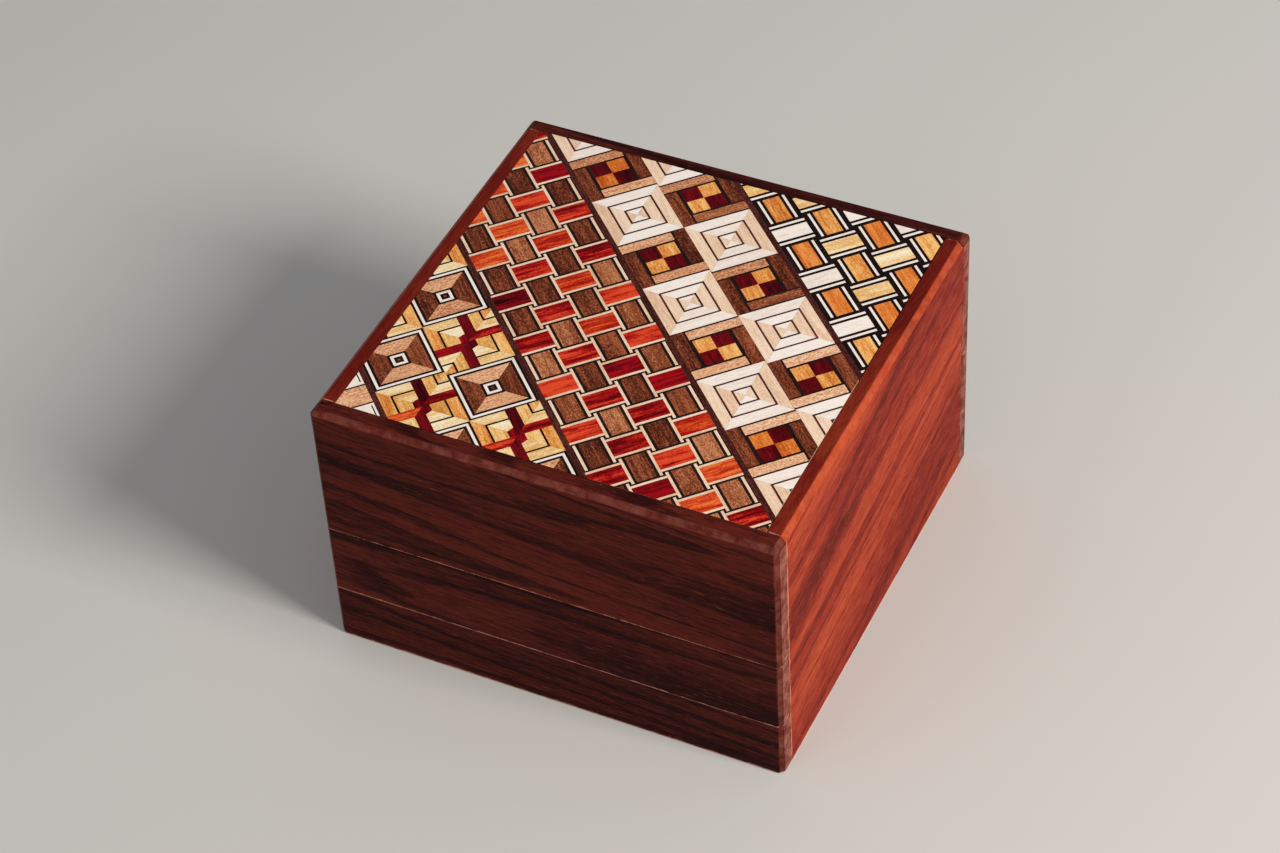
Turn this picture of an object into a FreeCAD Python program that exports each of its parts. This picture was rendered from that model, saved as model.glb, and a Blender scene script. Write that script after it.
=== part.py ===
import FreeCAD, Part
import Sketcher
import os
import re

# Wooden secret box: a hardwood case whose end boards drop one after another,
# after which the lid, with its marquetry sheet and its own front board, slides out.
# Frame: millimetres, +Z up, origin at the centre of the underside.
# Front is -Y, the sides are -X (left) and +X (right).

SIZES = {
    # outer shell
    "box_width": 100.0,
    "box_depth": 98.9,
    "box_height": 63.3,
    "side_thick": 4.0,
    "board_thick": 4.1,
    "corner_chamfer": 1.0,
    "rim_chamfer": 1.4,
    # clearances between moving pieces
    "run_gap": 0.1,
    "seam_gap": 0.12,
    "foot_gap": 0.2,
    # end boards
    "low_seam": 13.7,
    "high_seam": 30.7,
    "lap_height": 1.2,
    "lap_depth": 2.0,
    "rail_wide": 18.0,
    "rail_neck": 14.0,
    "rail_depth": 1.9,
    "rail_foot": 0.5,
    "front_rail_top": 30.4,
    "back_rail_top": 53.0,
    "upper_groove_top": 57.6,
    # lid
    "core_thick": 4.0,
    "veneer_thick": 0.8,
    "tongue_reach": 2.0,
    "tongue_high": 2.0,
    "tongue_low": 0.8,
    "cleat_high": 5.0,
    "cleat_thick": 3.0,
    "cleat_long": 84.0,
    # bottom and inner box
    "bottom_thick": 3.5,
    "bottom_tongue_low": 1.0,
    "bottom_tongue_high": 1.5,
    "inner_side_thick": 2.5,
    "inner_end_thick": 3.0,
    "inner_floor_thick": 2.0,
    # marquetry bands: their angle to the front edge, and places across them
    "band_angle": 44.0,
    "strip_long": 140.0,
    "strip_wide": 1.2,
    "corner_reach": 70.0,
    "front_strip_at": -57.0,
    "tile_strip_at": -27.05,
    "weave_strip_at": 1.75,
    "brick_strip_at": 32.1,
}

doc = FreeCAD.newDocument("SecretBox")
sheet = doc.addObject("Spreadsheet::Sheet", "Sizes")
for row, (alias, value) in enumerate(SIZES.items(), start=1):
    sheet.set("A%d" % row, alias)
    sheet.set("B%d" % row, str(value))
    sheet.setAlias("B%d" % row, alias)
doc.recompute()

# cubic millimetres that any cut must at least remove
LEAST_CUT = 1.0

NODES = []

# Levels and faces that several pieces share, as formulas in the sheet's words.
UNDERSIDE = "0"
BOARD_FACE = "(box_depth / 2 - board_thick)"
WALL_END = "(box_depth / 2 - board_thick - run_gap)"
SIDE_FACE = "(box_width / 2 - side_thick)"
CORE_TOP = "(box_height - veneer_thick)"
CORE_LOW = "(box_height - veneer_thick - core_thick)"
PANEL_EDGE = "(box_width / 2 - side_thick - run_gap)"
INNER_END = "(box_depth / 2 - board_thick - run_gap - inner_end_thick)"
INNER_SIDE = "(box_width / 2 - side_thick - inner_side_thick)"
INNER_TOP = "(box_height - veneer_thick - core_thick - run_gap)"
CLEAT_LOW = "(box_height - veneer_thick - core_thick - cleat_high)"


def bound(formula):
    """Turn the sheet's words in a formula into references to its cells."""
    return re.sub(r"[a-z]+_[a-z_]+", lambda found: "Sizes." + found.group(0), formula)


def bind(item, prop, formula):
    item.setExpression(prop, bound(formula))


def number(formula):
    return float(sheet.evalExpression(bound(formula)))


def minus(formula):
    return "-(" + formula + ")"


def new_body(label):
    body = doc.addObject("PartDesign::Body", label)
    body.Label = label
    body.Placement = FreeCAD.Placement()
    NODES.append(body)
    return body


def draw(body, role, name, corners):
    """Closed outline on one of the body's origin planes; corners are pairs of formulas."""
    plane = [item for item in body.Origin.OriginFeatures if item.Role == role][0]
    sketch = body.newObject("Sketcher::SketchObject", name)
    sketch.AttachmentSupport = (plane, [""])
    sketch.MapMode = "FlatFace"
    points = [FreeCAD.Vector(number(across), number(up), 0) for across, up in corners]
    for start, end in zip(points, points[1:] + points[:1]):
        sketch.addGeometry(Part.LineSegment(start, end))
    for line in range(len(points)):
        following = (line + 1) % len(points)
        sketch.addConstraint(Sketcher.Constraint("Coincident", line, 2, following, 1))
    for line, (across, up) in enumerate(corners):
        for kind, formula, value in (
            ("DistanceX", across, points[line].x),
            ("DistanceY", up, points[line].y),
        ):
            place = sketch.addConstraint(Sketcher.Constraint(kind, -1, 1, line, 1, value))
            sketch.setExpression("Constraints[%d]" % place, bound(formula))
    return sketch


def pad_both_ways(body, sketch, name, length):
    pad = body.newObject("PartDesign::Pad", name)
    pad.Profile = sketch
    pad.Midplane = True
    bind(pad, "Length", length)
    body.Tip = pad
    return pad


def pocket_upward(body, sketch, name, height):
    """Cut from the sketch's plane towards +Z and make sure that wood is removed."""
    doc.recompute()
    before = body.Shape.Volume
    pocket = body.newObject("PartDesign::Pocket", name)
    pocket.Profile = sketch
    pocket.Reversed = True
    bind(pocket, "Length", height)
    body.Tip = pocket
    doc.recompute()
    if body.Shape.Volume > before - LEAST_CUT:
        raise RuntimeError(name + " cuts nothing")
    return pocket


def bevel_rim_end(body, name, sign):
    """Slope the top corner at one end of a board, through its whole thickness."""
    outline = draw(body, "XZ_Plane", name + "_outline", [
        (sign + "(box_width / 2 - rim_chamfer)", "box_height"),
        (sign + "(box_width / 2)", "box_height"),
        (sign + "(box_width / 2)", "box_height - rim_chamfer"),
    ])
    doc.recompute()
    before = body.Shape.Volume
    pocket = body.newObject("PartDesign::Pocket", name)
    pocket.Profile = outline
    pocket.Midplane = True
    bind(pocket, "Length", "2 * box_depth")
    body.Tip = pocket
    doc.recompute()
    if body.Shape.Volume > before - LEAST_CUT:
        raise RuntimeError(name + " cuts nothing")


def chamfer_corners(body, base, name):
    """Chamfer the two upright edges of a board that are corners of the whole box."""
    half_width = number("box_width / 2")
    half_depth = number("box_depth / 2")
    near = 0.001
    doc.recompute()
    chosen = []
    for place, edge in enumerate(base.Shape.Edges, start=1):
        ends = [vertex.Point for vertex in edge.Vertexes]
        upright = abs(ends[0].x - ends[-1].x) < near and abs(ends[0].y - ends[-1].y) < near
        at_side = abs(abs(ends[0].x) - half_width) < near
        at_end = abs(abs(ends[0].y) - half_depth) < near
        if upright and at_side and at_end:
            chosen.append("Edge%d" % place)
    if len(chosen) != 2:
        raise RuntimeError(name + " finds %d edges" % len(chosen))
    feature = body.newObject("PartDesign::Chamfer", name)
    feature.Base = (base, chosen)
    bind(feature, "Size", "corner_chamfer")
    body.Tip = feature


def block(label, low, high):
    """Plain board between two corners, each given as three formulas."""
    box = doc.addObject("Part::Box", label)
    box.Label = label
    for axis, side, start, end in zip("xyz", ("Length", "Width", "Height"), low, high):
        bind(box, side, "(" + end + ") - (" + start + ")")
        bind(box, "Placement.Base." + axis, start)
    return box


def board(label, low, high):
    NODES.append(block(label, low, high))


# ---------------------------------------------------------------- case

def side_wall(label, side):
    """One board with a groove for the lid's tongue and one for the bottom's tongue."""
    sign = "" if side > 0 else "-"

    def out(formula):
        return sign + "(" + formula + ")"

    lid_groove_low = CORE_LOW + " + tongue_low - run_gap"
    lid_groove_high = CORE_LOW + " + tongue_low + tongue_high + run_gap"
    lid_groove_back = SIDE_FACE + " + tongue_reach + run_gap"
    bottom_groove_high = "bottom_tongue_low + bottom_tongue_high"
    bottom_groove_back = SIDE_FACE + " + tongue_reach"
    corners = [
        (out(SIDE_FACE), UNDERSIDE),
        (out("box_width / 2"), UNDERSIDE),
        (out("box_width / 2"), "box_height - rim_chamfer"),
        (out("box_width / 2 - rim_chamfer"), "box_height"),
        (out(SIDE_FACE), "box_height"),
        (out(SIDE_FACE), lid_groove_high),
        (out(lid_groove_back), lid_groove_high),
        (out(lid_groove_back), lid_groove_low),
        (out(SIDE_FACE), lid_groove_low),
        (out(SIDE_FACE), bottom_groove_high),
        (out(bottom_groove_back), bottom_groove_high),
        (out(bottom_groove_back), "bottom_tongue_low"),
        (out(SIDE_FACE), "bottom_tongue_low"),
    ]
    body = new_body(label)
    outline = draw(body, "XZ_Plane", label + "_outline", corners)
    pad_both_ways(body, outline, label + "_pad", "2 * " + WALL_END)


def tongued_panel(label, low, high, tongue_low, tongue_high, half_width, front, back):
    """Flat panel along Y with a tongue on each long edge."""
    tip = "(" + half_width + " + tongue_reach)"
    profile = [
        (half_width, low),
        (half_width, tongue_low),
        (tip, tongue_low),
        (tip, tongue_high),
        (half_width, tongue_high),
        (half_width, high),
    ]
    mirrored = [(minus(across), up) for across, up in reversed(profile)]
    body = new_body(label)
    outline = draw(body, "XZ_Plane", label + "_outline", profile + mirrored)
    pad = body.newObject("PartDesign::Pad", label + "_pad")
    pad.Profile = outline
    pad.Type = "Length"
    # the outline's normal is -Y: the pad starts at the back and runs to the front
    bind(pad, "Length", front + " + " + back)
    bind(outline, "AttachmentOffset.Base.z", minus(back))
    body.Tip = pad


side_wall("side_wall_left", -1)
side_wall("side_wall_right", 1)

tongued_panel(
    "bottom_panel",
    UNDERSIDE,
    "bottom_thick",
    "bottom_tongue_low",
    "bottom_tongue_low + bottom_tongue_high",
    SIDE_FACE,
    WALL_END,
    WALL_END,
)

board(
    "inner_floor",
    (minus(INNER_SIDE), minus(INNER_END), "bottom_thick"),
    (INNER_SIDE, INNER_END, "bottom_thick + inner_floor_thick"),
)
board(
    "inner_wall_left",
    (minus(SIDE_FACE), minus(INNER_END), "bottom_thick"),
    (minus(INNER_SIDE), INNER_END, INNER_TOP),
)
board(
    "inner_wall_right",
    (INNER_SIDE, minus(INNER_END), "bottom_thick"),
    (SIDE_FACE, INNER_END, INNER_TOP),
)
board(
    "inner_wall_front",
    (minus(SIDE_FACE), minus(WALL_END), "bottom_thick"),
    (SIDE_FACE, minus(INNER_END), CLEAT_LOW + " - run_gap"),
)
board(
    "inner_wall_back",
    (minus(SIDE_FACE), INNER_END, "bottom_thick"),
    (SIDE_FACE, WALL_END, INNER_TOP),
)


def rail(label, side, top):
    """Vertical dovetail rail glued to the outside of an inner end wall."""
    sign = "" if side > 0 else "-"
    foot = sign + WALL_END
    face = sign + "(" + WALL_END + " + rail_depth)"
    corners = [
        (minus("rail_neck / 2"), foot),
        ("rail_neck / 2", foot),
        ("rail_wide / 2", face),
        (minus("rail_wide / 2"), face),
    ]
    body = new_body(label)
    outline = draw(body, "XY_Plane", label + "_outline", corners)
    bind(outline, "AttachmentOffset.Base.z", "rail_foot")
    pad = body.newObject("PartDesign::Pad", label + "_pad")
    pad.Profile = outline
    bind(pad, "Length", top + " - rail_foot")
    body.Tip = pad


rail("front_rail", -1, "front_rail_top")
rail("back_rail", 1, "back_rail_top")


# ---------------------------------------------------------------- end boards

def end_board(label, side, low, high, lap_below, lap_above, groove_top):
    """Full-width end board; a lap on its inner half rises behind the board above it."""
    sign = "" if side > 0 else "-"
    outer = sign + "(box_depth / 2)"
    inner = sign + BOARD_FACE
    lap = sign + "(" + BOARD_FACE + " + lap_depth)"
    low_edge = low + " + seam_gap / 2" if lap_below else low
    corners = [(outer, low_edge)]
    if lap_above:
        high_edge = high + " - seam_gap / 2"
        tongue_top = high_edge + " + lap_height"
        corners += [(outer, high_edge), (lap, high_edge), (lap, tongue_top), (inner, tongue_top)]
    else:
        chamfered = sign + "(box_depth / 2 - rim_chamfer)"
        corners += [(outer, high + " - rim_chamfer"), (chamfered, high), (inner, high)]
    if lap_below:
        rebate_top = low_edge + " + lap_height"
        corners += [(inner, rebate_top), (lap, rebate_top), (lap, low_edge)]
    else:
        corners += [(inner, low_edge)]
    body = new_body(label)
    outline = draw(body, "YZ_Plane", label + "_outline", corners)
    pad = pad_both_ways(body, outline, label + "_pad", "box_width")

    if groove_top:
        mouth = sign + "(" + BOARD_FACE + " - run_gap)"
        floor = sign + "(" + WALL_END + " + rail_depth + run_gap)"
        groove = draw(body, "XY_Plane", label + "_groove_outline", [
            (minus("rail_neck / 2 + run_gap"), mouth),
            ("rail_neck / 2 + run_gap", mouth),
            ("rail_wide / 2 + run_gap", floor),
            (minus("rail_wide / 2 + run_gap"), floor),
        ])
        pad = pocket_upward(body, groove, label + "_groove", groove_top)

    chamfer_corners(body, pad, label + "_corners")
    if not lap_above:
        bevel_rim_end(body, label + "_rim_left", "-")
        bevel_rim_end(body, label + "_rim_right", "")


end_board("front_upper_board", -1, "high_seam", "box_height", True, False, None)
end_board("front_middle_board", -1, "low_seam", "high_seam", True, True, "box_height")
end_board("front_lower_board", -1, "foot_gap", "low_seam", False, True, "box_height")
end_board("back_upper_board", 1, "high_seam", "box_height", True, False, "upper_groove_top")
end_board("back_middle_board", 1, "low_seam", "high_seam", True, True, "box_height")
end_board("back_lower_board", 1, "foot_gap", "low_seam", False, True, "box_height")


# ---------------------------------------------------------------- lid

tongued_panel(
    "lid_core",
    CORE_LOW,
    CORE_TOP,
    CORE_LOW + " + tongue_low",
    CORE_LOW + " + tongue_low + tongue_high",
    PANEL_EDGE,
    BOARD_FACE,
    WALL_END,
)

board(
    "lid_cleat",
    (minus("cleat_long / 2"), minus(BOARD_FACE), CLEAT_LOW),
    ("cleat_long / 2", minus(BOARD_FACE) + " + cleat_thick", CORE_LOW),
)

# ---------------------------------------------------------------- marquetry sheet

ALONG = "cos(band_angle * 1deg)"
ACROSS = "sin(band_angle * 1deg)"


def band(label, low, high):
    """Part of the marquetry sheet between two slanted lines, low and high from its middle."""
    strip = doc.addObject("Part::Box", label + "_strip")
    turn = FreeCAD.Rotation(FreeCAD.Vector(0, 0, -1), SIZES["band_angle"])
    strip.Placement = FreeCAD.Placement(FreeCAD.Vector(), turn)
    bind(strip, "Length", "strip_long")
    bind(strip, "Width", "(" + high + ") - (" + low + ")")
    bind(strip, "Height", "veneer_thick")
    bind(strip, "Placement.Rotation.Angle", "band_angle * 1deg")
    bind(strip, "Placement.Base.x", "(" + low + ") * " + ACROSS + " - strip_long / 2 * " + ALONG)
    bind(strip, "Placement.Base.y", "(" + low + ") * " + ALONG + " + strip_long / 2 * " + ACROSS)
    bind(strip, "Placement.Base.z", CORE_TOP)
    panel = block(
        label + "_panel",
        (minus(PANEL_EDGE), minus(BOARD_FACE), CORE_TOP),
        (PANEL_EDGE, WALL_END, "box_height"),
    )
    piece = doc.addObject("Part::Common", label)
    piece.Label = label
    piece.Base = strip
    piece.Tool = panel
    NODES.append(piece)


# Dividing strips from the front corner to the back corner, with their middles.
STRIPS = [
    ("dividing_strip_front", "front_strip_at"),
    ("dividing_strip_tiles", "tile_strip_at"),
    ("dividing_strip_weave", "weave_strip_at"),
    ("dividing_strip_bricks", "brick_strip_at"),
]
BANDS = [
    "marquetry_front_corner",
    "marquetry_tile_band",
    "marquetry_weave_band",
    "marquetry_square_band",
    "marquetry_brick_corner",
]

band_low = minus("corner_reach")
for band_label, (strip_label, middle) in zip(BANDS, STRIPS):
    strip_low = middle + " - strip_wide / 2"
    strip_high = middle + " + strip_wide / 2"
    band(band_label, band_low, strip_low)
    band(strip_label, strip_low, strip_high)
    band_low = strip_high
band(BANDS[-1], band_low, "corner_reach")


# ---------------------------------------------------------------- check and write

doc.recompute()
failed = [item.Name for item in doc.Objects if {"Invalid", "Error"} & set(item.State)]
if failed:
    raise RuntimeError("failed objects: " + ", ".join(failed))

os.makedirs("parts", exist_ok=True)
for node in NODES:
    shape = node.Shape
    if shape.isNull() or not shape.isValid() or not shape.Solids:
        raise RuntimeError(node.Label + " has no valid solid")
    shape.exportStep("parts/" + node.Label + ".step")
    limits = shape.BoundBox
    print("%-26s %8.1f mm3  x %.2f..%.2f  y %.2f..%.2f  z %.2f..%.2f" % (
        node.Label, shape.Volume, limits.XMin, limits.XMax,
        limits.YMin, limits.YMax, limits.ZMin, limits.ZMax))
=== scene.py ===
import math
import random

import bpy
from mathutils import Matrix, Vector
from mathutils.geometry import delaunay_2d_cdt

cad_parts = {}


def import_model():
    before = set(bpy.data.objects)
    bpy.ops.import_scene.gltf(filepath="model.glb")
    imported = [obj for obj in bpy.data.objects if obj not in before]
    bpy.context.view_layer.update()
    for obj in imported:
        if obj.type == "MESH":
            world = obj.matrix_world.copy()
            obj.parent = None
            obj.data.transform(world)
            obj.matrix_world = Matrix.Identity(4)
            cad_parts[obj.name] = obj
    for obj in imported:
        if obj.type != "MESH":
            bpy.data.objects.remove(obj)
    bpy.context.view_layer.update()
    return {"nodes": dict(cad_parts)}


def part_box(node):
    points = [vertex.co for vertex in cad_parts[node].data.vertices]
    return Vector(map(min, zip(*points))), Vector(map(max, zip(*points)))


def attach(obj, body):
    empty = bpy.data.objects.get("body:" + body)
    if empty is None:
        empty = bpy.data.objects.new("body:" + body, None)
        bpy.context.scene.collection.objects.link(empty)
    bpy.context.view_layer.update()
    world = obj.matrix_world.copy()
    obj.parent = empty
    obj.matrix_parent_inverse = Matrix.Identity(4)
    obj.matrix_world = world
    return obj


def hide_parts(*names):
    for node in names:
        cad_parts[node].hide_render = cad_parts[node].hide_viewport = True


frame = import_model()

MM = 0.001


# ------------------------------------------------------------------ node tree helpers

class Tree:
    """Short calls for building one material's nodes."""

    def __init__(self, name):
        self.material = bpy.data.materials.new(name)
        self.material.use_nodes = True
        self.nodes = self.material.node_tree.nodes
        self.links = self.material.node_tree.links
        self.shader = self.nodes["Principled BSDF"]

    def add(self, kind, **settings):
        node = self.nodes.new(kind)
        for key, value in settings.items():
            setattr(node, key, value)
        return node

    def feed(self, socket, value):
        if isinstance(value, bpy.types.NodeSocket):
            self.links.new(value, socket)
        else:
            socket.default_value = value

    def maths(self, operation, first, second=0.0, third=0.0):
        node = self.add("ShaderNodeMath", operation=operation)
        for socket, value in zip(node.inputs, (first, second, third)):
            self.feed(socket, value)
        return node.outputs[0]

    def scaled(self, vector, scale):
        """The vector times scale, which has one number for each axis."""
        node = self.add("ShaderNodeVectorMath", operation="MULTIPLY")
        self.feed(node.inputs[0], vector)
        node.inputs[1].default_value = scale
        return node.outputs[0]

    def moved(self, vector, offset):
        node = self.add("ShaderNodeVectorMath", operation="ADD")
        self.feed(node.inputs[0], vector)
        self.feed(node.inputs[1], offset)
        return node.outputs[0]

    def noise(self, vector, detail, roughness=0.55, distortion=0.0):
        """Noise of a vector that already has its scale."""
        node = self.add("ShaderNodeTexNoise", noise_dimensions="3D")
        self.feed(node.inputs["Vector"], vector)
        node.inputs["Scale"].default_value = 1.0
        node.inputs["Detail"].default_value = detail
        node.inputs["Roughness"].default_value = roughness
        node.inputs["Distortion"].default_value = distortion
        return node.outputs["Fac"]

    def step(self, value, low, high, to_low=0.0, to_high=1.0):
        """Smooth step of value from low to high."""
        node = self.add("ShaderNodeMapRange", interpolation_type="SMOOTHSTEP")
        self.feed(node.inputs["Value"], value)
        node.inputs["From Min"].default_value = low
        node.inputs["From Max"].default_value = high
        node.inputs["To Min"].default_value = to_low
        node.inputs["To Max"].default_value = to_high
        return node.outputs["Result"]

    def swing(self, value, noise, amount):
        """The value, moved up and down by a noise that lies around one half."""
        return self.maths("MULTIPLY_ADD", self.maths("SUBTRACT", noise, 0.5), amount, value)

    def ramp(self, value, stops):
        node = self.add("ShaderNodeValToRGB")
        self.feed(node.inputs["Fac"], value)
        points = node.color_ramp.elements
        while len(points) < len(stops):
            points.new(0.5)
        for point, (place, tint) in zip(points, stops):
            point.position = place
            point.color = tint
        return node.outputs["Color"]

    def mix(self, share, first, second):
        node = self.add("ShaderNodeMix", data_type="RGBA")
        self.feed(node.inputs["Factor"], share)
        self.feed(node.inputs["A"], first)
        self.feed(node.inputs["B"], second)
        return node.outputs["Result"]

    def tinted(self, shade, mask, share, tint):
        """The shade, with up to share of tint where the mask is 1."""
        return self.mix(self.maths("MULTIPLY", mask, share), shade, tint)

    def bump(self, height, strength, distance):
        node = self.add("ShaderNodeBump")
        node.inputs["Strength"].default_value = strength
        node.inputs["Distance"].default_value = distance
        self.feed(node.inputs["Height"], height)
        self.feed(self.shader.inputs["Normal"], node.outputs["Normal"])


def colour(red, green, blue):
    """Linear colour from 8-bit display values."""

    def linear(value):
        share = value / 255.0
        return share / 12.92 if share <= 0.04045 else ((share + 0.055) / 1.055) ** 2.4

    return (linear(red), linear(green), linear(blue), 1.0)


# ------------------------------------------------------------------ wood of the case

WOOD_SPECULAR = 0.05
SEED_STEP = 31.7  # millimetres from one seed's part of the noise to the next


def climbing_grain(tree, in_mm, grain_axis, seed, rise):
    """The place in the wood: the grain climbs a little along the board."""
    offset = tuple(SEED_STEP * seed * (axis + 1) for axis in range(3))
    turn = tree.add("ShaderNodeVectorRotate", rotation_type="AXIS_ANGLE")
    tree.feed(turn.inputs["Vector"], tree.moved(in_mm, offset))
    turn.inputs["Axis"].default_value = (0, 1, 0) if grain_axis == 0 else (1, 0, 0)
    turn.inputs["Angle"].default_value = rise
    return turn.outputs["Vector"]


def wood_figure(tree, grain, grain_axis, palette, rings, contrast):
    """Colour of the wood, and the noise of its fibres and the mask of its dark pores."""
    dark, middle, light, worn = palette

    def grained(along, across, **settings):
        """Noise with one scale along the grain and another across it."""
        scale = tuple(along if axis == grain_axis else across for axis in range(3))
        return tree.noise(tree.scaled(grain, scale), **settings)

    # growth rings: slow darkening that ends in a sharper line
    growth = grained(0.0042, 0.085, detail=2.0, roughness=0.30, distortion=0.08)
    turns = tree.maths("FRACT", tree.maths("MULTIPLY", growth, rings))
    late = tree.step(turns, 0.45, 0.88)
    line = tree.step(turns, 0.90, 1.0)
    ring = tree.maths("SUBTRACT", late, line)
    value = tree.maths("MULTIPLY_ADD", ring, -contrast, 0.52 + contrast / 3)
    # slow changes along the board, then fibres
    wander = grained(0.006, 0.05, detail=2.0)
    fibres = grained(0.16, 1.8, detail=5.0, roughness=0.78)
    value = tree.swing(value, wander, 1.10)
    value = tree.swing(value, fibres, 1.35)
    shade = tree.ramp(value, [(0.18, dark), (0.50, middle), (0.85, light)])
    # short flecks: dark pores, light glints and a few pale sparks
    flecks = grained(0.30, 3.8, detail=3.0, roughness=0.6)
    pores = tree.step(flecks, 0.56, 0.70)
    glints = tree.step(flecks, 0.44, 0.30)
    sparks = tree.step(flecks, 0.33, 0.25)
    shade = tree.tinted(shade, pores, 0.60, dark)
    shade = tree.tinted(shade, glints, 0.55, light)
    shade = tree.tinted(shade, sparks, 0.18, worn)
    return shade, fibres, pores


def face_distances(tree, spot, box):
    """Millimetres to the nearer of the board's two faces on each axis."""
    distances = []
    for axis in range(3):
        low, high = box[0][axis] / MM, box[1][axis] / MM
        below = tree.maths("SUBTRACT", spot[axis], low)
        above = tree.maths("SUBTRACT", high, spot[axis])
        distances.append(tree.maths("MINIMUM", below, above))
    return distances


def inner_distance(tree, spot, box):
    """Millimetres from the board's face that looks towards the middle of the box."""
    thickness = [box[1][axis] - box[0][axis] for axis in range(3)]
    thin = thickness.index(min(thickness))
    inner = box[1][thin] if box[0][thin] + box[1][thin] < 0 else box[0][thin]
    return tree.maths("ABSOLUTE", tree.maths("SUBTRACT", spot[thin], inner / MM))


def board_material(name, box, grain_axis, palette, seed, rise, rings=8.0,
                   contrast=0.3, painted_top_shade=0.0, wear=1.0, rough=0.50):
    """Hardwood board with its grain along one axis, in the object's own coordinates.

    palette holds the dark, middle and light wood colours and the worn edge colour.
    box is the board's lowest and highest corner: worn edges lie where two of its faces meet.
    rise is the angle of the grain's climb, contrast how dark the growth rings are,
    painted_top_shade the share of painted shade on the top face, wear how strong the worn edges
    are.
    """
    tree = Tree(name)
    dark, _, light, worn = palette
    place = tree.add("ShaderNodeTexCoord").outputs["Object"]
    in_mm = tree.scaled(place, (1 / MM,) * 3)
    grain = climbing_grain(tree, in_mm, grain_axis, seed, rise)
    shade, fibres, pores = wood_figure(tree, grain, grain_axis, palette, rings, contrast)
    split = tree.add("ShaderNodeSeparateXYZ")
    tree.feed(split.inputs["Vector"], in_mm)
    spot = split.outputs
    # painted shade: the top face is darkened towards the dark wood colour
    if painted_top_shade:
        top = box[1][2] / MM
        top_shade_share = tree.step(spot[2], top - 0.35, top - 0.05, 0.0, painted_top_shade)
        shade = tree.mix(top_shade_share, shade, dark)

    # end grain is paler and blotchy
    distances = face_distances(tree, spot, box)
    patches = tree.noise(tree.scaled(in_mm, (0.32,) * 3), detail=6.0, roughness=0.7)
    blotches = tree.step(patches, 0.35, 0.65)
    end_share = tree.step(distances[grain_axis], 0.02, 0.12, 0.90, 0.0)
    shade = tree.mix(end_share, shade, light)
    shade = tree.tinted(shade, tree.maths("MULTIPLY", end_share, blotches), 0.42, worn)

    # distance to the nearest face of all, and to the second nearest, which is 0 on an edge
    first, second, third = distances
    small = tree.maths("MINIMUM", first, second)
    large = tree.maths("MAXIMUM", first, second)
    nearest = tree.maths("MINIMUM", small, third)
    edge = tree.maths("MAXIMUM", small, tree.maths("MINIMUM", large, third))

    # the sloping corners and rim, inside both faces, are rubbed a little lighter
    breakup = tree.noise(tree.scaled(in_mm, (0.35,) * 3), detail=5.0, roughness=0.75)
    slope = tree.step(nearest, 0.05, 0.25)
    outside = tree.step(tree.maths("ADD", nearest, edge), 1.45, 1.60, 1.0, 0.0)
    rubbed = tree.maths("MULTIPLY", slope, outside)
    rubbed = tree.maths("MULTIPLY", rubbed, tree.step(breakup, 0.36, 0.66, 0.40, 0.80))
    shade = tree.mix(rubbed, shade, light)
    shade = tree.tinted(shade, tree.maths("MULTIPLY", rubbed, blotches), 0.22, worn)

    # worn edges vary in width; those of the inner face are sheltered and stay dark
    worn_width = tree.step(breakup, 0.36, 0.72, 0.10, 0.50)
    near_edge = tree.maths("DIVIDE", edge, worn_width)
    worn_share = tree.step(near_edge, 0.30, 1.0, 0.90 * wear, 0.0)
    open_share = tree.step(inner_distance(tree, spot, box), 0.30, 0.80)
    worn_share = tree.maths("MULTIPLY", worn_share, open_share)
    shade = tree.mix(worn_share, shade, worn)
    tree.feed(tree.shader.inputs["Base Color"], shade)

    gloss = tree.step(fibres, 0.3, 0.75, rough + 0.10, rough - 0.06)
    gloss = tree.maths("MULTIPLY_ADD", pores, 0.18, gloss)
    tree.feed(tree.shader.inputs["Roughness"], gloss)
    height = tree.maths("MULTIPLY_ADD", pores, -0.7, tree.maths("MULTIPLY", fibres, 0.5))
    tree.bump(height, 0.35, 0.12 * MM)
    tree.shader.inputs["Specular IOR Level"].default_value = WOOD_SPECULAR
    return tree.material


# dark, middle and light wood, then the worn edges. The end boards' colours are their own
# darker tone with painted shade, the side walls' colours their own tone with painted light.
END_WOOD_WITH_PAINTED_SHADE = (colour(30, 5, 5), colour(55, 15, 12), colour(98, 34, 24), colour(210, 138, 122))
SIDE_WOOD_WITH_PAINTED_LIGHT = (colour(88, 16, 10), colour(136, 38, 24), colour(178, 72, 40), colour(220, 134, 106))
PALE_WOOD = (colour(176, 138, 92), colour(206, 170, 120), colour(226, 196, 150),
             colour(232, 208, 168))

RED_BOARDS = [
    # node, grain axis, climb of the grain in degrees, wood (painted shade on the end boards,
    # painted light on the side walls), seed of its figure
    ("side_wall_left", 1, -3.0, SIDE_WOOD_WITH_PAINTED_LIGHT, 4),
    ("side_wall_right", 1, -7.0, SIDE_WOOD_WITH_PAINTED_LIGHT, 52),
    ("front_upper_board", 0, -3.0, END_WOOD_WITH_PAINTED_SHADE, 6),
    ("front_middle_board", 0, -3.0, END_WOOD_WITH_PAINTED_SHADE, 7),
    ("front_lower_board", 0, -2.0, END_WOOD_WITH_PAINTED_SHADE, 8),
    ("back_upper_board", 0, 1.5, END_WOOD_WITH_PAINTED_SHADE, 9),
    ("back_middle_board", 0, 1.0, END_WOOD_WITH_PAINTED_SHADE, 10),
    ("back_lower_board", 0, 2.0, END_WOOD_WITH_PAINTED_SHADE, 11),
]
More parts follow.
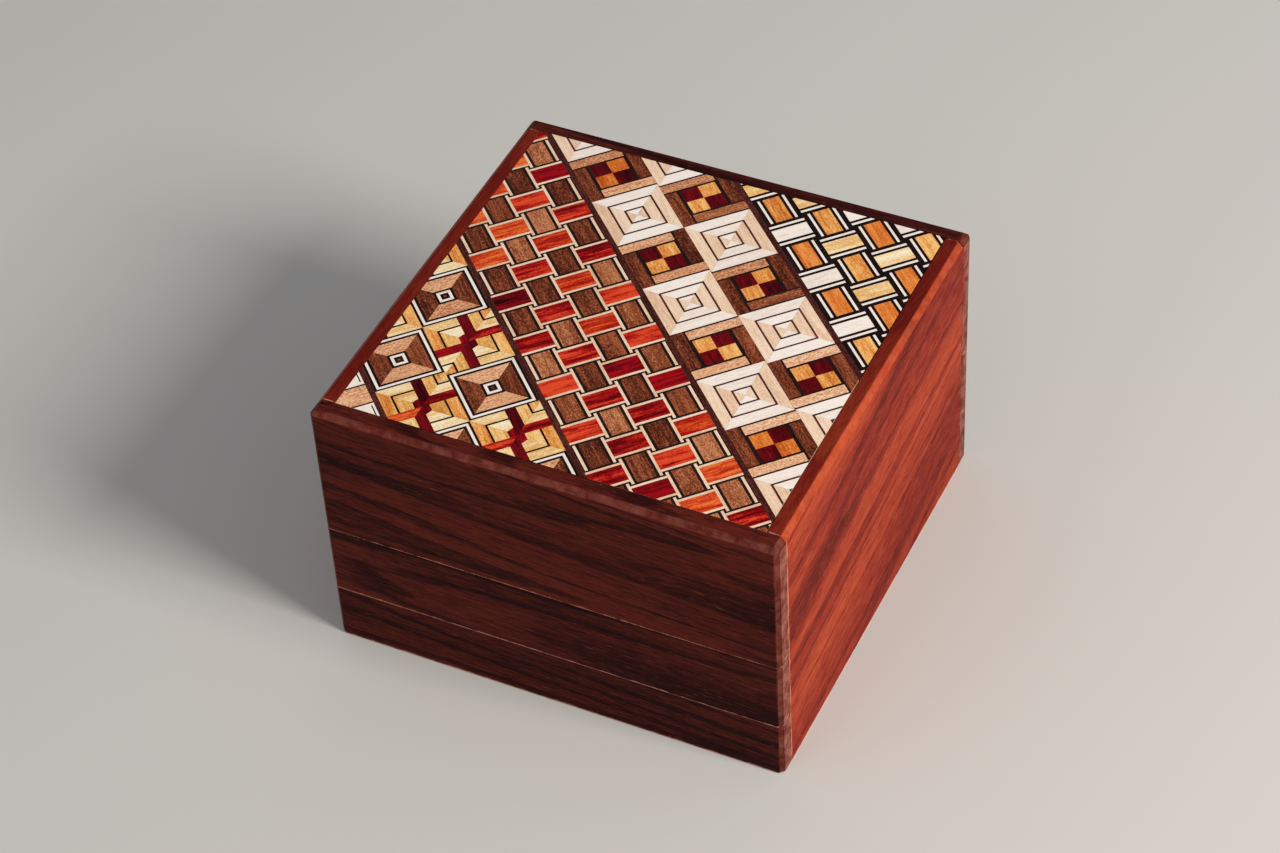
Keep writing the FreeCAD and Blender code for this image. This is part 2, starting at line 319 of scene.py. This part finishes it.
PALE_BOARDS = [
    # node, grain axis, climb of the grain in degrees
    ("bottom_panel", 1, 1.0),
    ("inner_floor", 1, 0.0),
    ("inner_wall_left", 1, 0.0),
    ("inner_wall_right", 1, 0.0),
    ("inner_wall_front", 0, 0.0),
    ("inner_wall_back", 0, 0.0),
    ("lid_core", 1, 1.5),
    ("lid_cleat", 0, 0.0),
    ("front_rail", 2, 0.0),
    ("back_rail", 2, 0.0),
]

# growth rings of the two red woods, and the painted shade on the top face that only the side walls
# have
SIDE_FIGURE_AND_TOP_SHADE = {"rings": 5.0, "contrast": 0.24, "painted_top_shade": 0.65}
END_FIGURE = {"rings": 8.0, "contrast": 0.32}
RED_EDGE = 0.16 * MM  # radius of the softened edges
PALE_EDGE = 0.12 * MM


def dress(node, material, radius):
    """Give a CAD board its material and softened edges."""
    board = frame["nodes"][node]
    board.data.materials.clear()
    board.data.materials.append(material)
    weld = board.modifiers.new("weld", "WELD")
    weld.merge_threshold = 0.002 * MM
    bevel = board.modifiers.new("soft_edges", "BEVEL")
    bevel.width = radius
    bevel.segments = 3
    bevel.limit_method = "ANGLE"
    bevel.angle_limit = math.radians(25)
    bevel.harden_normals = True
    bevel.use_clamp_overlap = True


for node, axis, climb, wood, seed in RED_BOARDS:
    figure = SIDE_FIGURE_AND_TOP_SHADE if wood is SIDE_WOOD_WITH_PAINTED_LIGHT else END_FIGURE
    red = board_material("case_" + node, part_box(node), axis, wood, seed,
                         rise=math.radians(climb), **figure)
    dress(node, red, RED_EDGE)
for seed, (node, axis, climb) in enumerate(PALE_BOARDS, start=21):
    pale = board_material("plain_" + node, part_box(node), axis, PALE_WOOD, seed,
                          rise=math.radians(climb), wear=0.3, rough=0.62)
    dress(node, pale, PALE_EDGE)


# ------------------------------------------------------------------ wood of the marquetry

def inlay_material(name, palette, streak, speckle, spread):
    """Small veneer pieces. Attribute grain holds millimetres along and across each piece's
    fibres, and in its third number the piece's own whole number.

    palette holds dark, middle and light wood. streak and speckle are the strengths of the
    long and the short figure, spread how far apart the tones of two pieces can be."""
    tree = Tree(name)
    source = tree.add("ShaderNodeAttribute", attribute_name="grain").outputs["Vector"]
    split = tree.add("ShaderNodeSeparateXYZ")
    tree.feed(split.inputs["Vector"], source)
    along, across, number = split.outputs
    own = tree.maths("ROUND", number)
    chance = tree.add("ShaderNodeTexWhiteNoise", noise_dimensions="1D")
    tree.feed(chance.inputs["W"], own)
    piece_tone = chance.outputs["Value"]
    # each piece is cut from its own layer of the noise
    layer = tree.maths("MULTIPLY", own, 7.13)
    join = tree.add("ShaderNodeCombineXYZ")
    for socket, value in zip(join.inputs, (along, across, layer)):
        tree.feed(socket, value)
    grain = join.outputs[0]
    streaks = tree.noise(tree.scaled(grain, (0.10, 0.95, 1.0)), detail=3.0, roughness=0.6,
                         distortion=0.3)
    fibres = tree.noise(tree.scaled(grain, (0.45, 4.6, 1.0)), detail=3.0, roughness=0.65)
    dots = tree.noise(tree.scaled(grain, (1.9, 3.6, 1.0)), detail=3.0, roughness=0.75)
    value = tree.swing(0.5, streaks, streak * 2.4)
    value = tree.swing(value, fibres, 0.85)
    value = tree.swing(value, piece_tone, spread * 2.0)
    value = tree.swing(value, dots, speckle * 2.4)
    dark, middle, light = palette
    shade = tree.ramp(value, [(0.15, dark), (0.5, middle), (0.85, light)])
    tree.feed(tree.shader.inputs["Base Color"], shade)
    tree.feed(tree.shader.inputs["Roughness"], tree.step(fibres, 0.3, 0.7, 0.46, 0.33))
    pores = tree.step(dots, 0.62, 0.75)
    tree.bump(tree.maths("MULTIPLY_ADD", pores, -0.5, fibres), 0.22, 0.06 * MM)
    tree.shader.inputs["Specular IOR Level"].default_value = WOOD_SPECULAR
    return tree.material


# species: palette, then streak, speckle and spread between pieces
SPECIES = {
    "white": ((colour(224, 204, 188), colour(249, 235, 224), colour(254, 248, 242)),
              0.22, 0.35, 0.08),
    "cream": ((colour(212, 166, 132), colour(240, 205, 174), colour(251, 228, 206)),
              0.30, 0.50, 0.12),
    "butter": ((colour(224, 168, 98), colour(248, 214, 156), colour(254, 240, 208)),
               0.50, 0.70, 0.20),
    "yellow": ((colour(206, 132, 54), colour(240, 182, 104), colour(252, 222, 160)),
               0.55, 0.65, 0.20),
    "amber": ((colour(190, 96, 28), colour(234, 156, 78), colour(252, 204, 130)),
              0.55, 0.60, 0.16),
    "orange": ((colour(176, 72, 16), colour(220, 118, 46), colour(242, 160, 84)),
               0.50, 0.50, 0.14),
    "blush": ((colour(200, 134, 94), colour(238, 184, 144), colour(252, 222, 192)),
              0.25, 1.10, 0.12),
    "rose": ((colour(160, 94, 58), colour(218, 152, 110), colour(244, 194, 152)),
             0.25, 1.10, 0.16),
    "tan": ((colour(112, 52, 28), colour(162, 90, 57), colour(210, 142, 98)),
            0.45, 1.00, 0.18),
    "walnut": ((colour(56, 20, 12), colour(110, 51, 31), colour(168, 92, 57)),
               0.45, 0.90, 0.14),
    "scarlet": ((colour(98, 0, 8), colour(176, 20, 18), colour(228, 76, 40)),
                0.95, 0.50, 0.28),
    "flame": ((colour(158, 14, 10), colour(210, 64, 28), colour(240, 122, 56)),
              0.85, 0.50, 0.28),
    "crimson": ((colour(44, 0, 6), colour(108, 2, 14), colour(168, 10, 22)),
                0.80, 0.45, 0.20),
    "maroon": ((colour(36, 0, 6), colour(88, 3, 12), colour(130, 10, 20)),
               0.45, 0.45, 0.15),
    "black": ((colour(12, 6, 6), colour(24, 13, 13), colour(48, 29, 27)),
              0.40, 0.40, 0.15),
    "bog": ((colour(40, 13, 11), colour(70, 30, 25), colour(104, 54, 46)),
            0.45, 0.90, 0.10),
}
INLAY = {
    name: inlay_material("inlay_" + name, palette, streak, speckle, spread)
    for name, (palette, streak, speckle, spread) in SPECIES.items()
}

# ------------------------------------------------------------------ marquetry pattern
# Drawn in millimetres on the panel: u runs along the bands, v across them.

BAND_ANGLE = math.radians(44.0)
ALONG = Vector((math.cos(BAND_ANGLE), -math.sin(BAND_ANGLE)))
ACROSS = Vector((math.sin(BAND_ANGLE), math.cos(BAND_ANGLE)))
GLUE = 0.012  # how far each piece stays inside its outline
STRIP = 1.2  # width of the dark strips between the bands
LINE = 0.42  # width of a fine black line
POINT = 0.02  # half size at which nested frames end
FAR = 70.0  # past the panel's corners, from its middle


class Pattern:
    """The pieces of one band, later ones lying over earlier ones."""

    def __init__(self, seed):
        self.pieces = []
        self.draw = random.Random(seed)

    def piece(self, wood, corners, grain):
        """One veneer piece. grain is the angle of its fibres from u, in degrees."""
        self.pieces.append((wood, [Vector(corner) for corner in corners], grain))

    def bar(self, wood, left, low, right, high, grain):
        self.piece(wood, [(left, low), (right, low), (right, high), (left, high)], grain)

    def ring(self, woods, centre, outer, inner):
        """Mitred frame. woods: for the two upright sides, then for top and bottom.
        outer and inner are half sizes along u and v."""
        (cu, cv), (ou, ov), (iu, iv) = centre, outer, inner
        upright, level = woods
        for side in (-1, 1):
            self.piece(upright, [
                (cu + side * ou, cv - ov), (cu + side * ou, cv + ov),
                (cu + side * iu, cv + iv), (cu + side * iu, cv - iv)], 90)
            self.piece(level, [
                (cu - ou, cv + side * ov), (cu + ou, cv + side * ov),
                (cu + iu, cv + side * iv), (cu - iu, cv + side * iv)], 0)


def white_square(pattern, cu, cv, half_u, half_v):
    """White frames in perspective around a small pyramid, with two fine black rings."""
    wide, small = (4.95, 4.9), (2.28, 2.18)
    in_wide = (wide[0] - LINE, wide[1] - LINE)
    in_small = (small[0] - LINE, small[1] - LINE)
    sizes = [(half_u, half_v), wide, in_wide, small, in_small, (POINT, POINT)]
    white, black = ("white", "cream"), ("bog", "bog")
    for woods, outer, inner in zip((white, black, white, black, white), sizes, sizes[1:]):
        pattern.ring(woods, (cu, cv), outer, inner)


def checker_unit(pattern, cu, cv, half_u, half_v, hand, low_wood, high_wood):
    """Pinwheel of four bars around two red and two gold squares, on black.

    hand is 1, or -1 for the mirror image. low_wood is the upright bar that reaches the
    lower edge, high_wood the one that reaches the upper edge."""
    square = 3.85
    gap_u, gap_v = 2 * LINE + 0.1, LINE + 0.35
    upright = half_u - square - gap_u
    level = half_v - square - gap_v

    def slip(wood, from_u, from_v, to_u, to_v, grain):
        left, right = sorted((cu + hand * from_u, cu + hand * to_u))
        pattern.bar(wood, left, cv + from_v, right, cv + to_v, grain)

    slip("walnut", -half_u, half_v - level, half_u - upright - 2 * LINE, half_v, 0)
    slip("walnut", upright + 2 * LINE - half_u, -half_v, half_u, level - half_v, 0)
    slip(low_wood, LINE - half_u, -half_v, LINE + upright - half_u, half_v - level - LINE, 90)
    slip(high_wood, half_u - LINE - upright, level + LINE - half_v, half_u - LINE, half_v, 90)
    gold = pattern.draw.choice(("amber", "orange", "amber"))
    for column in (-1, 1):
        for row in (-1, 1):
            wood = "maroon" if column == row else gold
            slip(wood, min(column, 0) * square, min(row, 0) * square,
                 max(column, 0) * square, max(row, 0) * square, 0)


def square_band(pattern, low, high):
    """Two rows in which white squares and pinwheels take turns."""
    middle = (low + high) / 2
    half_v = (high - low) / 4
    pitch = 29.55
    half_white = 7.58
    half_brown = pitch / 2 - half_white
    seam = 0.03
    mirrored_from, blush_from = 10.0, 20.0
    first_squares = (-30.5, -15.3)
    for row, first in enumerate(first_squares):
        cv = low + half_v + row * (middle - low)
        for repeat in range(-2, 4):
            cu = first + repeat * pitch
            white_square(pattern, cu, cv, half_white, half_v - seam)
            cb = cu + pitch / 2
            # the units towards the right are mirror images with paler bars
            hand = -1 if cb > mirrored_from else 1
            woods = ("rose", "tan") if row else ("rose", "rose")
            if hand < 0:
                woods = ("rose", "blush") if cb < blush_from else ("blush", "blush")
            checker_unit(pattern, cb, cv, half_brown, half_v, hand, *woods)


def weave_band(pattern, low, high):
    """Basket weave of level brown and upright red slips with white edges."""
    rows = 4
    cell = (high - low) / rows
    pitch = 13.8
    lap = 0.25
    short = cell / 2 - lap
    long = cell / 2 + lap
    white = 0.60
    # black between a slip and its neighbours: outside a red one, inside and at the ends
    # of a brown one
    red_black, brown_black, end_black = 0.40, 0.58, 0.12
    edge = short - red_black
    red_half = edge - white
    brown_half = short - brown_black - white
    reds = ("scarlet", "flame", "crimson", "scarlet", "scarlet", "flame", "scarlet")
    first_reds = (4.6, 11.5)
    for row in range(rows):
        cv = high - cell * (row + 0.5)
        first = first_reds[row % 2]
        browns = ("walnut", "walnut", "walnut", "tan") if row else ("tan", "tan", "walnut")
        for repeat in range(-6, 6):
            cu = first + repeat * pitch
            top, bottom = min(cv + long, high), max(cv - long, low)
            wood = pattern.draw.choice(reds)
            pattern.bar("cream", cu - edge, bottom, cu - red_half, top, 90)
            pattern.bar("cream", cu + red_half, bottom, cu + edge, top, 90)
            pattern.bar(wood, cu - red_half, bottom, cu + red_half, top, 90)
            cb = cu + pitch / 2
            end = long - end_black
            wood = pattern.draw.choice(browns)
            pattern.bar("cream", cb - long, cv + short - white, cb + long, cv + short, 0)
            pattern.bar("cream", cb - long, cv - short, cb + long, cv - short + white, 0)
            pattern.bar(wood, cb - end, cv - brown_half, cb + end, cv + brown_half, 0)


def brick_corner(pattern, low, high):
    """Basket weave of level gold and upright white slips, with black-white-black lines.

    The rows start from low and run on past the panel's corner, so high isn't needed."""
    cell = 7.96
    pitch = 15.65
    first_row = low + 3.95
    brick = 1.83
    # a white line's distance from the slip's middle, and half its width
    level_line, level_half = 2.72, 0.28
    upright_line, upright_half = 2.80, 0.32
    gap_u, gap_v = 0.06, 0.1
    long = pitch / 4 - gap_u
    tall = cell / 2 - gap_v
    first_golds = (-4.8, 2.95)
    golds = ("amber", "orange", "amber", "amber", "yellow")
    whites = ("white", "butter", "butter", "white", "yellow")
    for row in range(5):
        cv = first_row + row * cell
        first = first_golds[row % 2]
        for repeat in range(-3, 4):
            cu = first + repeat * pitch
            wood = pattern.draw.choice(golds)
            pattern.bar(wood, cu - long, cv - brick, cu + long, cv + brick, 0)
            for side in (-1, 1):
                line = cv + side * level_line
                pattern.bar("white", cu - long, line - level_half, cu + long, line + level_half, 0)
            cb = cu + pitch / 2
            wood = pattern.draw.choice(whites)
            pattern.bar(wood, cb - brick, cv - tall, cb + brick, cv + tall, 90)
            for side in (-1, 1):
                line = cb + side * upright_line
                pattern.bar("white", line - upright_half, cv - tall,
                            line + upright_half, cv + tall, 90)


def pyramid(pattern, cu, cv, half):
    """Brown stepped pyramid with a small white ring, framed black, white and black."""
    # half sizes where the outer frames begin, then the slopes, then the ring
    edges = [half, half - 0.36, half - 0.96, half - 1.50, 2.00, 1.50, 0.86, POINT]
    woods = [("black", "black"), ("white", "white"), ("black", "black"), ("rose", "walnut"),
             ("black", "black"), ("white", "white"), ("black", "black")]
    for wood, outer, inner in zip(woods, edges, edges[1:]):
        pattern.ring(wood, (cu, cv), (outer, outer), (inner, inner))
    core = 0.3
    pattern.bar("walnut", cu - core, cv - core, cu + core, cv + core, 0)


def nested_corner(pattern, corner, towards, size, band, woods):
    """Two L-shaped frames with a black line between them, mitred from one corner.

    towards holds the signs that lead into the field, size its two lengths.
    woods: upright and level pieces of the first frame, then of the second."""
    size_u, size_v = size

    def at(du, dv):
        return (corner[0] + towards[0] * du, corner[1] + towards[1] * dv)

    reach = min(size)
    levels = [0.0, band, band + LINE, reach]
    pairs = (woods[:2], ("black", "black"), woods[2:])
    for start, stop, (upright, level) in zip(levels, levels[1:], pairs):
        begin, tip = at(start, start), at(stop, stop)
        pattern.piece(upright, [begin, at(start, size_v), at(stop, size_v), tip], 90)
        pattern.piece(level, [begin, at(size_u, start), at(size_u, stop), tip], 0)


def cross_unit(pattern, cu, cv, half_u, half_v):
    """Red pinwheel cross over four fields of nested yellow frames."""
    arm, border = 2.3, 2.3
    # the knot beside the centre: its reach, and the share of it that its slanted end keeps
    knot_u, knot_v, knot_share = 2.45, 1.5, 0.75
    left, right, low, high = cu - half_u, cu + half_u, cv - half_v, cv + half_v
    outer = ("butter", "amber", "butter", "yellow")
    inner = ("butter", "yellow", "butter", "amber")
    nested_corner(pattern, (right, high), (-1, -1), (half_u, half_v), border, outer)
    nested_corner(pattern, (left, low), (1, 1), (half_u, half_v), border, outer)
    field = (half_u - arm, half_v - arm)
    nested_corner(pattern, (cu - arm, cv + arm), (-1, 1), field, border, inner)
    nested_corner(pattern, (cu + arm, cv - arm), (1, -1), field, border, inner)
    for side in (-1, 1):
        upright = pattern.draw.choice(("scarlet", "crimson", "scarlet", "flame", "scarlet"))
        centre = (cu, cv)
        knee = (cu - side * arm, cv + side * arm)
        end_v = cv + side * half_v
        end_u = cu - side * half_u
        pattern.piece(upright, [(knee[0], end_v), (cu, end_v), centre, knee], 90)
        pattern.piece("maroon", [(end_u, knee[1]), (end_u, cv), centre, knee], 0)
        pattern.piece("crimson", [
            centre, (cu + side * knot_u, cv),
            (cu + side * knot_u * knot_share, cv + side * knot_v), (cu, cv + side * knot_v)], 0)


def tile_band(pattern, low, high):
    """Two rows in which pyramids and crosses take turns."""
    cell = (high - low) / 2
    pitch = 29.4
    half_pyramid = 7.05
    half_cross = pitch / 4 + 0.25
    first_pyramids = (-22.6, -8.35)
    for row, first in enumerate(first_pyramids):
        cv = high - cell * (row + 0.5)
        for repeat in range(-2, 3):
            cu = first + repeat * pitch
            cross_unit(pattern, cu + pitch / 2, cv, half_cross, cell / 2)
            pyramid(pattern, cu, cv, half_pyramid)


def front_corner(pattern, low, high):
    """Only the tip of one more band: a rose slip between two white squares."""
    left, right = -12.0, 10.0
    middle, slip_half, border = -1.5, 2.55, 0.40
    black_half = slip_half + border
    line_low, line_high = high - 0.75, high - 0.45
    line_ends = (-5.2, 2.1)
    pattern.bar("white", left, low, right, high, 0)
    pattern.bar("black", left, line_low, line_ends[0], line_high, 0)
    pattern.bar("black", line_ends[1], line_low, right, line_high, 0)
    pattern.bar("black", middle - black_half, low, middle + black_half, high, 90)
    pattern.bar("rose", middle - slip_half, low, middle + slip_half, high, 90)


def strip(pattern, low, high):
    """One long dark piece."""
    pattern.bar("bog", -FAR, low, FAR, high, 0)


# ------------------------------------------------------------------ marquetry meshes

SAME_SPOT = 1e-6  # a shorter edge is left out
PARALLEL = 1e-9  # cross product of two edges that have no crossing to use
MERGE = 1e-5  # how close two corners are joined when the top is divided
CRUMB = 0.02  # square millimetres; a smaller piece is left out
NUMBERS = 400  # more than the pieces in one band, so each has its own number


def signed_double_area(corners):
    """Twice the area, above zero when the corners run anticlockwise."""
    return sum(a.x * b.y - b.x * a.y for a, b in zip(corners, corners[1:] + corners[:1]))


def inset(corners, by):
    """The convex outline moved inwards by a distance."""
    loop = corners if signed_double_area(corners) > 0 else corners[::-1]
    lines = []
    for start, end in zip(loop, loop[1:] + loop[:1]):
        run = end - start
        if run.length < SAME_SPOT:
            continue
        run.normalize()
        lines.append((start + Vector((-run.y, run.x)) * by, run))
    found = []
    for (p, d), (q, e) in zip(lines[-1:] + lines[:-1], lines):
        cross = d.x * e.y - d.y * e.x
        if abs(cross) < PARALLEL:
            continue
        share = ((q.x - p.x) * e.y - (q.y - p.y) * e.x) / cross
        found.append(p + d * share)
    return found


def clip(corners, point, inward):
    """The part of a convex outline on the inward side of a line through point."""
    kept = []
    for start, end in zip(corners, corners[1:] + corners[:1]):
        a = (start - point).dot(inward)
        b = (end - point).dot(inward)
        if a >= 0:
            kept.append(start)
        if (a > 0 > b) or (a < 0 < b):
            kept.append(start + (end - start) * (a / (a - b)))
    return kept


PANEL_LOW, PANEL_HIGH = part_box("marquetry_weave_band")
PANEL = [(PANEL_LOW[0] / MM, PANEL_LOW[1] / MM), (PANEL_HIGH[0] / MM, PANEL_HIGH[1] / MM)]


def on_panel(spot):
    """From the bands' own u and v to the box's x and y, all in millimetres."""
    return ALONG * spot.x + ACROSS * spot.y


def band_outline(low, high):
    """Corners, in the box's own millimetres, of the panel between two slanted lines."""
    (left, front), (right, back) = PANEL
    corners = [Vector((left, front)), Vector((right, front)), Vector((right, back)),
               Vector((left, back))]
    corners = clip(corners, ACROSS * low, ACROSS)
    return clip(corners, ACROSS * high, -ACROSS)


def shapes_on(outline, pattern):
    """Wood, corners and grain of the outline, then of each piece that shows inside it."""
    shapes = [("edge", outline, 0.0)]
    for wood, corners, grain in pattern.pieces:
        placed = [on_panel(corner) for corner in inset(corners, GLUE)]
        for start, end in zip(outline, outline[1:] + outline[:1]):
            run = (end - start).normalized()
            if len(placed) > 2:
                placed = clip(placed, start, Vector((-run.y, run.x)))
        if len(placed) > 2 and abs(signed_double_area(placed)) / 2 > CRUMB:
            shapes.append((wood, placed, grain))
    return shapes


def divide(shapes):
    """The spots of the divided top, and each of its faces with the shape that lies topmost."""
    spots, outlines = [], []
    for _, corners, _ in shapes:
        start = len(spots)
        spots.extend(corners)
        outlines.append(list(range(start, len(spots))))
    flat, _, faces, _, _, sources = delaunay_2d_cdt(spots, [], outlines, 1, MERGE)
    return flat, [(face, max(source)) for face, source in zip(faces, sources) if source]


def slab(node, flat, top_faces):
    """Vertices and faces of a sheet: its divided top, its sides and one flat underside."""
    top, bottom = PANEL_HIGH[2], PANEL_LOW[2]
    vertices = [(spot.x * MM, spot.y * MM, top) for spot in flat]
    runs = dict.fromkeys(
        run for face in top_faces for run in zip(face, face[1:] + face[:1]))
    border = [(a, b) for a, b in runs if (b, a) not in runs]
    below = {}
    for run in border:
        for spot in run:
            if spot not in below:
                below[spot] = len(vertices)
                x, y, _ = vertices[spot]
                vertices.append((x, y, bottom))
    sides = [(b, a, below[a], below[b]) for a, b in border]
    follow = dict(border)
    loop = [border[0][0]]
    while follow[loop[-1]] != loop[0]:
        loop.append(follow[loop[-1]])
        if len(loop) > len(border):
            raise RuntimeError(node + " has no simple outline")
    base = [below[spot] for spot in reversed(loop)]
    return vertices, [list(face) for face in top_faces] + sides + [base]


def write_grain(mesh, grains, first_number):
    """Attribute grain, from each face's own angle and shape number."""
    grain_data = mesh.attributes.new("grain", "FLOAT_VECTOR", "CORNER")
    for polygon, (angle, shape) in zip(mesh.polygons, grains):
        turn = math.radians(angle) - BAND_ANGLE
        run = Vector((math.cos(turn), math.sin(turn)))
        aside = Vector((-run.y, run.x))
        number = float(first_number + shape)
        for corner in polygon.loop_indices:
            x, y, z = mesh.vertices[mesh.loops[corner].vertex_index].co / MM
            spot = Vector((x, y))
            across = spot.dot(aside) + (z - PANEL_HIGH[2] / MM)
            grain_data.data[corner].vector = (spot.dot(run), across, number)


def inlay(node, low, high, fill, seed, background):
    """One band of the sheet: a slab whose top is divided into its veneer pieces."""
    pattern = Pattern(seed)
    fill(pattern, low, high)
    shapes = shapes_on(band_outline(low, high), pattern)
    flat, top_faces = divide(shapes)
    vertices, faces = slab(node, flat, [face for face, _ in top_faces])
    mesh = bpy.data.meshes.new("inlay_" + node)
    mesh.from_pydata(vertices, [], faces)
    # sides and underside belong to shape 0, the outline, and take the first wood
    face_woods = [shapes[shape][0] if shape else background for _, shape in top_faces]
    woods = list(dict.fromkeys(face_woods))
    plain = len(faces) - len(top_faces)
    face_woods += woods[:1] * plain
    face_shapes = [shape for _, shape in top_faces] + [0] * plain
    for wood in woods:
        mesh.materials.append(INLAY[wood])
    for polygon, wood in zip(mesh.polygons, face_woods):
        polygon.material_index = woods.index(wood)
    write_grain(mesh, [(shapes[shape][2], shape) for shape in face_shapes], seed * NUMBERS)
    mesh.validate()
    mesh.update()
    piece = bpy.data.objects.new("inlay_" + node, mesh)
    bpy.context.scene.collection.objects.link(piece)
    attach(piece, "lid")
    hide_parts(node)
    return piece


# Lines between the bands, in millimetres across the panel.
LEVELS = [-FAR, -57.0, -27.05, 1.75, 32.1, FAR]
HALF = STRIP / 2
SHEET = [
    # node, its two limits across the panel, pattern, slot of its main wood
    ("marquetry_front_corner", LEVELS[0], LEVELS[1] - HALF, front_corner, "pink_wood"),
    ("marquetry_tile_band", LEVELS[1] + HALF, LEVELS[2] - HALF, tile_band, "brown_wood"),
    ("marquetry_weave_band", LEVELS[2] + HALF, LEVELS[3] - HALF, weave_band, "scarlet_wood"),
    ("marquetry_square_band", LEVELS[3] + HALF, LEVELS[4] - HALF, square_band, "white_wood"),
    ("marquetry_brick_corner", LEVELS[4] + HALF, LEVELS[5], brick_corner, "yellow_wood"),
]
STRIP_NODES = ["dividing_strip_front", "dividing_strip_tiles", "dividing_strip_weave",
               "dividing_strip_bricks"]
background = "black"  # shows between the pieces of every band
for seed, (node, low, high, fill, slot) in enumerate(SHEET, start=1):
    inlay(node, low, high, fill, seed, background)
for seed, (node, middle) in enumerate(zip(STRIP_NODES, LEVELS[1:5]), start=11):
    inlay(node, middle - HALF, middle + HALF, strip, seed, "bog")


# ------------------------------------------------------------------ floor, light, camera

AIM = (0, 0, 0.03)  # about the middle of the box, where both lamps point


def floor():
    """Plain pale floor, far wider than the picture."""
    mesh = bpy.data.meshes.new("floor")
    far = 3.0
    mesh.from_pydata([(-far, -far, 0), (far, -far, 0), (far, far, 0), (-far, far, 0)], [],
                     [(0, 1, 2, 3)])
    plane = bpy.data.objects.new("floor", mesh)
    bpy.context.scene.collection.objects.link(plane)
    tree = Tree("floor_paper")
    tree.shader.inputs["Base Color"].default_value = colour(206, 203, 198)
    tree.shader.inputs["Roughness"].default_value = 0.85
    mesh.materials.append(tree.material)


def lamp(name, place, target, size, power, tint):
    """Square soft lamp. size is in metres, power in watts."""
    data = bpy.data.lights.new(name, "AREA")
    data.shape = "SQUARE"
    data.size = size
    data.energy = power
    data.color = tint
    light = bpy.data.objects.new(name, data)
    light.location = place
    light.rotation_euler = (Vector(target) - Vector(place)).to_track_quat("-Z", "Y").to_euler()
    bpy.context.scene.collection.objects.link(light)


def world():
    """Even, slightly cool light from all around."""
    made = bpy.data.worlds.new("studio")
    made.use_nodes = True
    background = made.node_tree.nodes["Background"]
    background.inputs["Color"].default_value = (0.92, 0.95, 1.0, 1.0)
    background.inputs["Strength"].default_value = 0.34
    bpy.context.scene.world = made


def camera():
    """Seen from in front, to the right and high above, with a long lens."""
    data = bpy.data.cameras.new("camera")
    data.sensor_width = 36.0
    data.lens = 95.76
    data.clip_start = 0.01
    data.clip_end = 20.0
    eye = bpy.data.objects.new("camera", data)
    place = Vector((0.2326, -0.4480, 0.5165))
    right = Vector((0.903831, 0.425381, -0.046263)).normalized()
    look = Vector((-0.336386, 0.639563, -0.691234)).normalized()
    up = right.cross(look).normalized()
    turn = Matrix((right, up, -look)).transposed().to_4x4()
    eye.matrix_world = Matrix.Translation(place) @ turn
    bpy.context.scene.collection.objects.link(eye)
    bpy.context.scene.camera = eye


floor()
lamp("key", (0.95, -0.14, 0.72), AIM, 0.40, 14.0, (1.0, 0.96, 0.90))
lamp("fill", (-0.5, -0.9, 0.7), AIM, 0.9, 1.2, (0.95, 0.97, 1.0))
world()
camera()
bpy.context.scene.view_settings.view_transform = "Standard"
